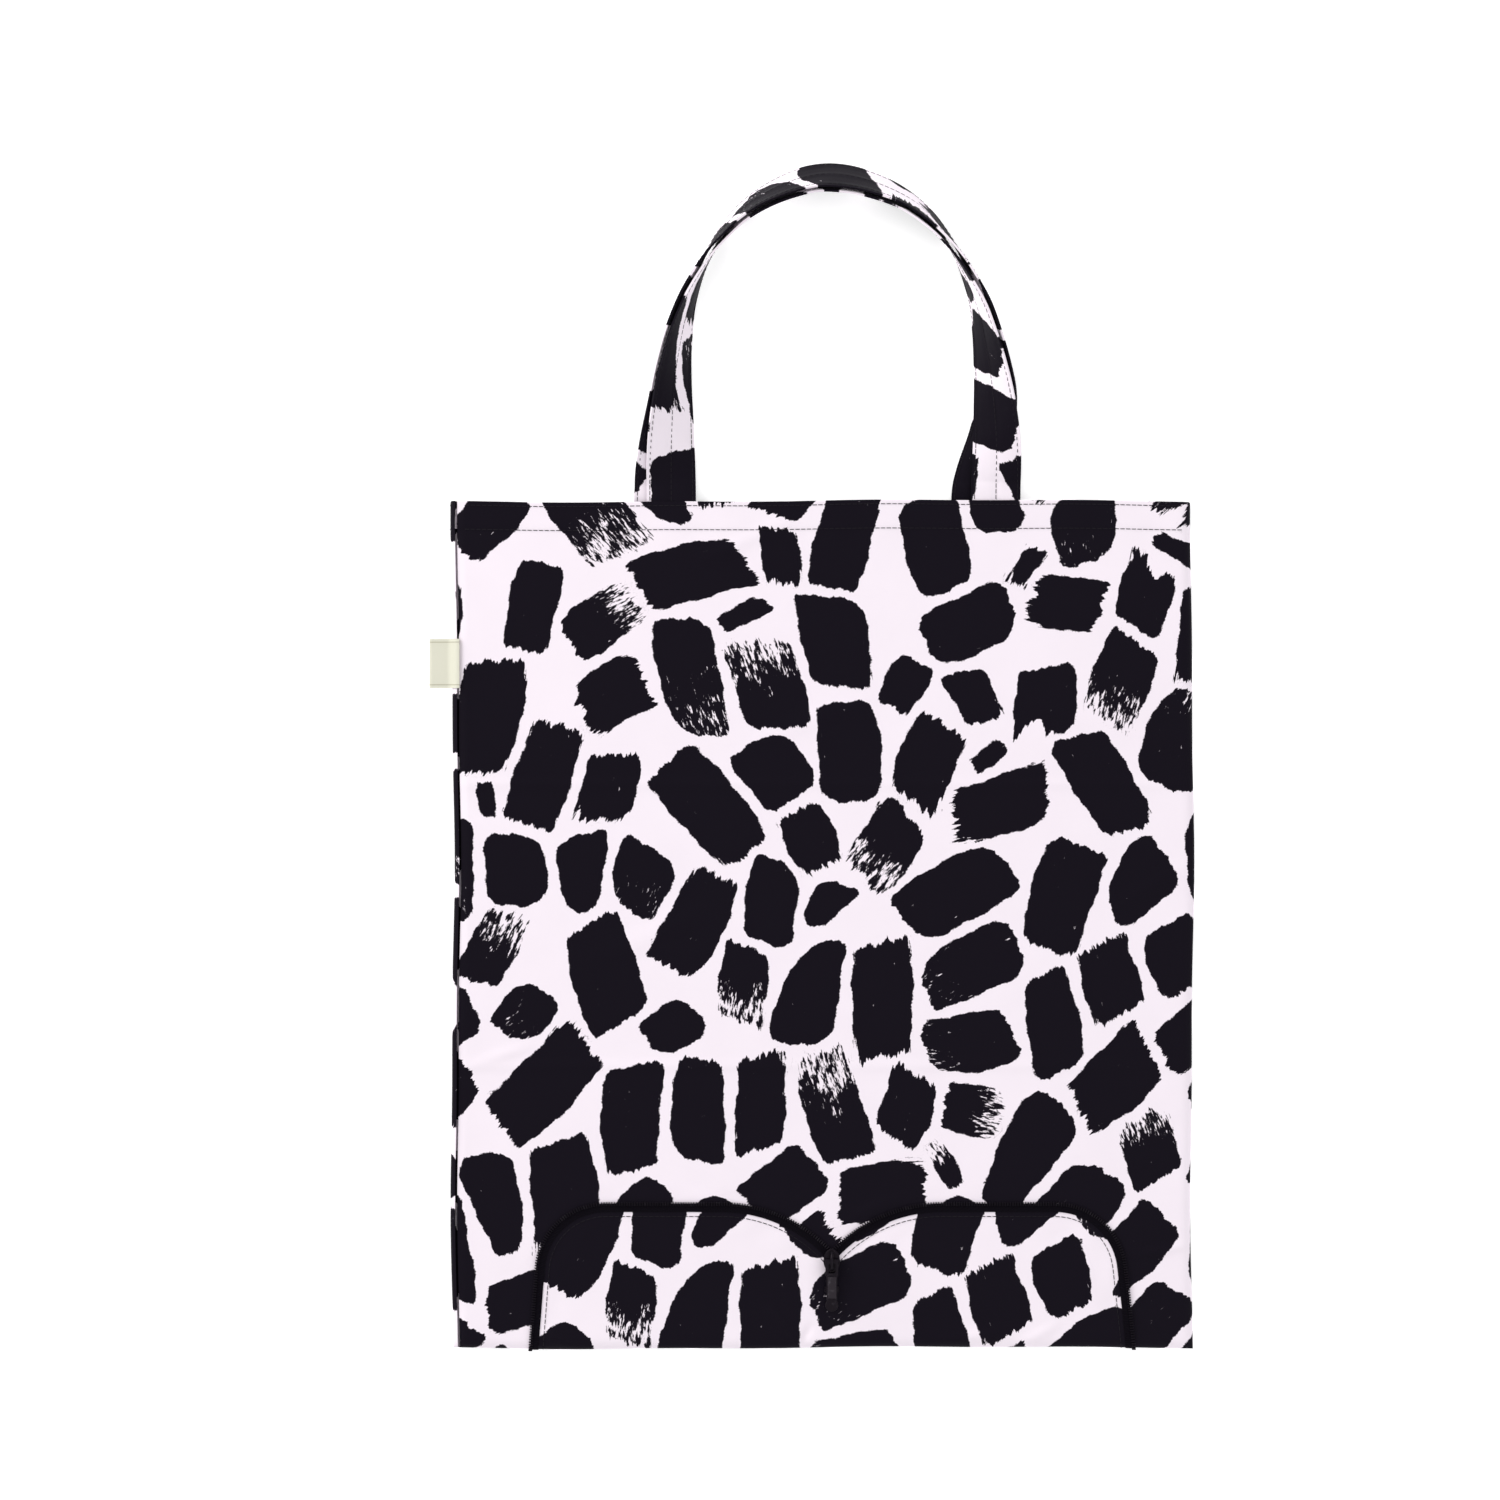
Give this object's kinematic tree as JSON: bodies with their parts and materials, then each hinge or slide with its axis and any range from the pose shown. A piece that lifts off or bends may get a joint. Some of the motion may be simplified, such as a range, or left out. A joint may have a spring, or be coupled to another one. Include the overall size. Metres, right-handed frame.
{
  "type": "foldable tote bag",
  "caption": "Flat shopping tote in white cloth with black brush dabs, two strap handles, and a zip-round pouch in its bottom edge that the bag folds into.",
  "frame": {"origin": "centre of the back panel's outer face, with the empty bag lying on its back", "axes": "+X to the right as the front is seen, +Y towards the handles, +Z out of the front panel"},
  "size_m": [0.388, 0.6037, 0.0264],
  "materials": {
    "printed_cloth": "thin matte woven polyester printed with black brush dabs",
    "zip_tape": "black woven zip tape",
    "zip_teeth": "black nylon coil",
    "zip_metal": "black satin enamel",
    "label_ribbon": "cream woven ribbon, blank"
  },
  "bodies": {
    "lower": {"front_panel_lower": "printed_cloth", "back_panel_lower": "printed_cloth", "left_side_seam_lower": "printed_cloth", "right_side_seam_lower": "printed_cloth", "pouch_cover_front": "printed_cloth", "pouch_cover_back": "printed_cloth", "pouch_bottom_fold": "printed_cloth", "left_bottom_corner": "printed_cloth", "right_bottom_corner": "printed_cloth", "zip_tape_left": "zip_tape", "zip_tape_right": "zip_tape", "zip_teeth_left": "zip_teeth", "zip_teeth_right": "zip_teeth", "zip_bottom_stop": "zip_metal", "zip_top_stop_left": "zip_metal", "zip_top_stop_right": "zip_metal"},
    "middle": {"front_panel_middle": "printed_cloth", "back_panel_middle": "printed_cloth", "left_side_seam_middle": "printed_cloth", "right_side_seam_middle": "printed_cloth"},
    "upper": {"front_panel_upper": "printed_cloth", "back_panel_upper": "printed_cloth", "front_top_hem": "printed_cloth", "back_top_hem": "printed_cloth", "left_side_seam_upper": "printed_cloth", "right_side_seam_upper": "printed_cloth", "front_strap_end_left": "printed_cloth", "front_strap_end_right": "printed_cloth", "back_strap_end_left": "printed_cloth", "back_strap_end_right": "printed_cloth", "side_label": "label_ribbon"},
    "front_handle": {"front_handle_strap": "printed_cloth"},
    "back_handle": {"back_handle_strap": "printed_cloth"},
    "slider": {"zip_slider_body": "zip_metal", "zip_slider_bridge": "zip_metal"},
    "pull_tab": {"zip_pull_tab": "zip_metal"}
  },
  "joints": [
    {"name": "middle_fold", "type": "hinge", "parent": "lower", "child": "middle", "pos_m": [0, -0.07167, 0.0116], "axis": [1, 0, 0], "range_deg": [0, 178]},
    {"name": "upper_fold", "type": "hinge", "parent": "middle", "child": "upper", "pos_m": [0, 0.07167, -0.0015], "axis": [1, 0, 0], "range_deg": [-178, 0]},
    {"name": "front_handle_swing", "type": "hinge", "parent": "upper", "child": "front_handle", "pos_m": [0, 0.215, 0.0063], "axis": [1, 0, 0], "range_deg": [0, 178], "deforming": ["front_handle_strap"]},
    {"name": "back_handle_swing", "type": "hinge", "parent": "upper", "child": "back_handle", "pos_m": [0, 0.215, 0.0063], "axis": [1, 0, 0], "range_deg": [0, 178], "deforming": ["back_handle_strap"]},
    {"name": "slider_travel", "type": "slide", "parent": "lower", "child": "slider", "axis": [0, -1, 0], "range_m": [0, 0.012]},
    {"name": "pull_swing", "type": "hinge", "parent": "slider", "child": "pull_tab", "pos_m": [0.0045, -0.17015, 0.01125], "axis": [-1, 0, 0], "range_deg": [0, 175]}
  ],
  "couplings": [
    {"joint": "upper_fold", "follows": "middle_fold", "ratio": -1}
  ]
}
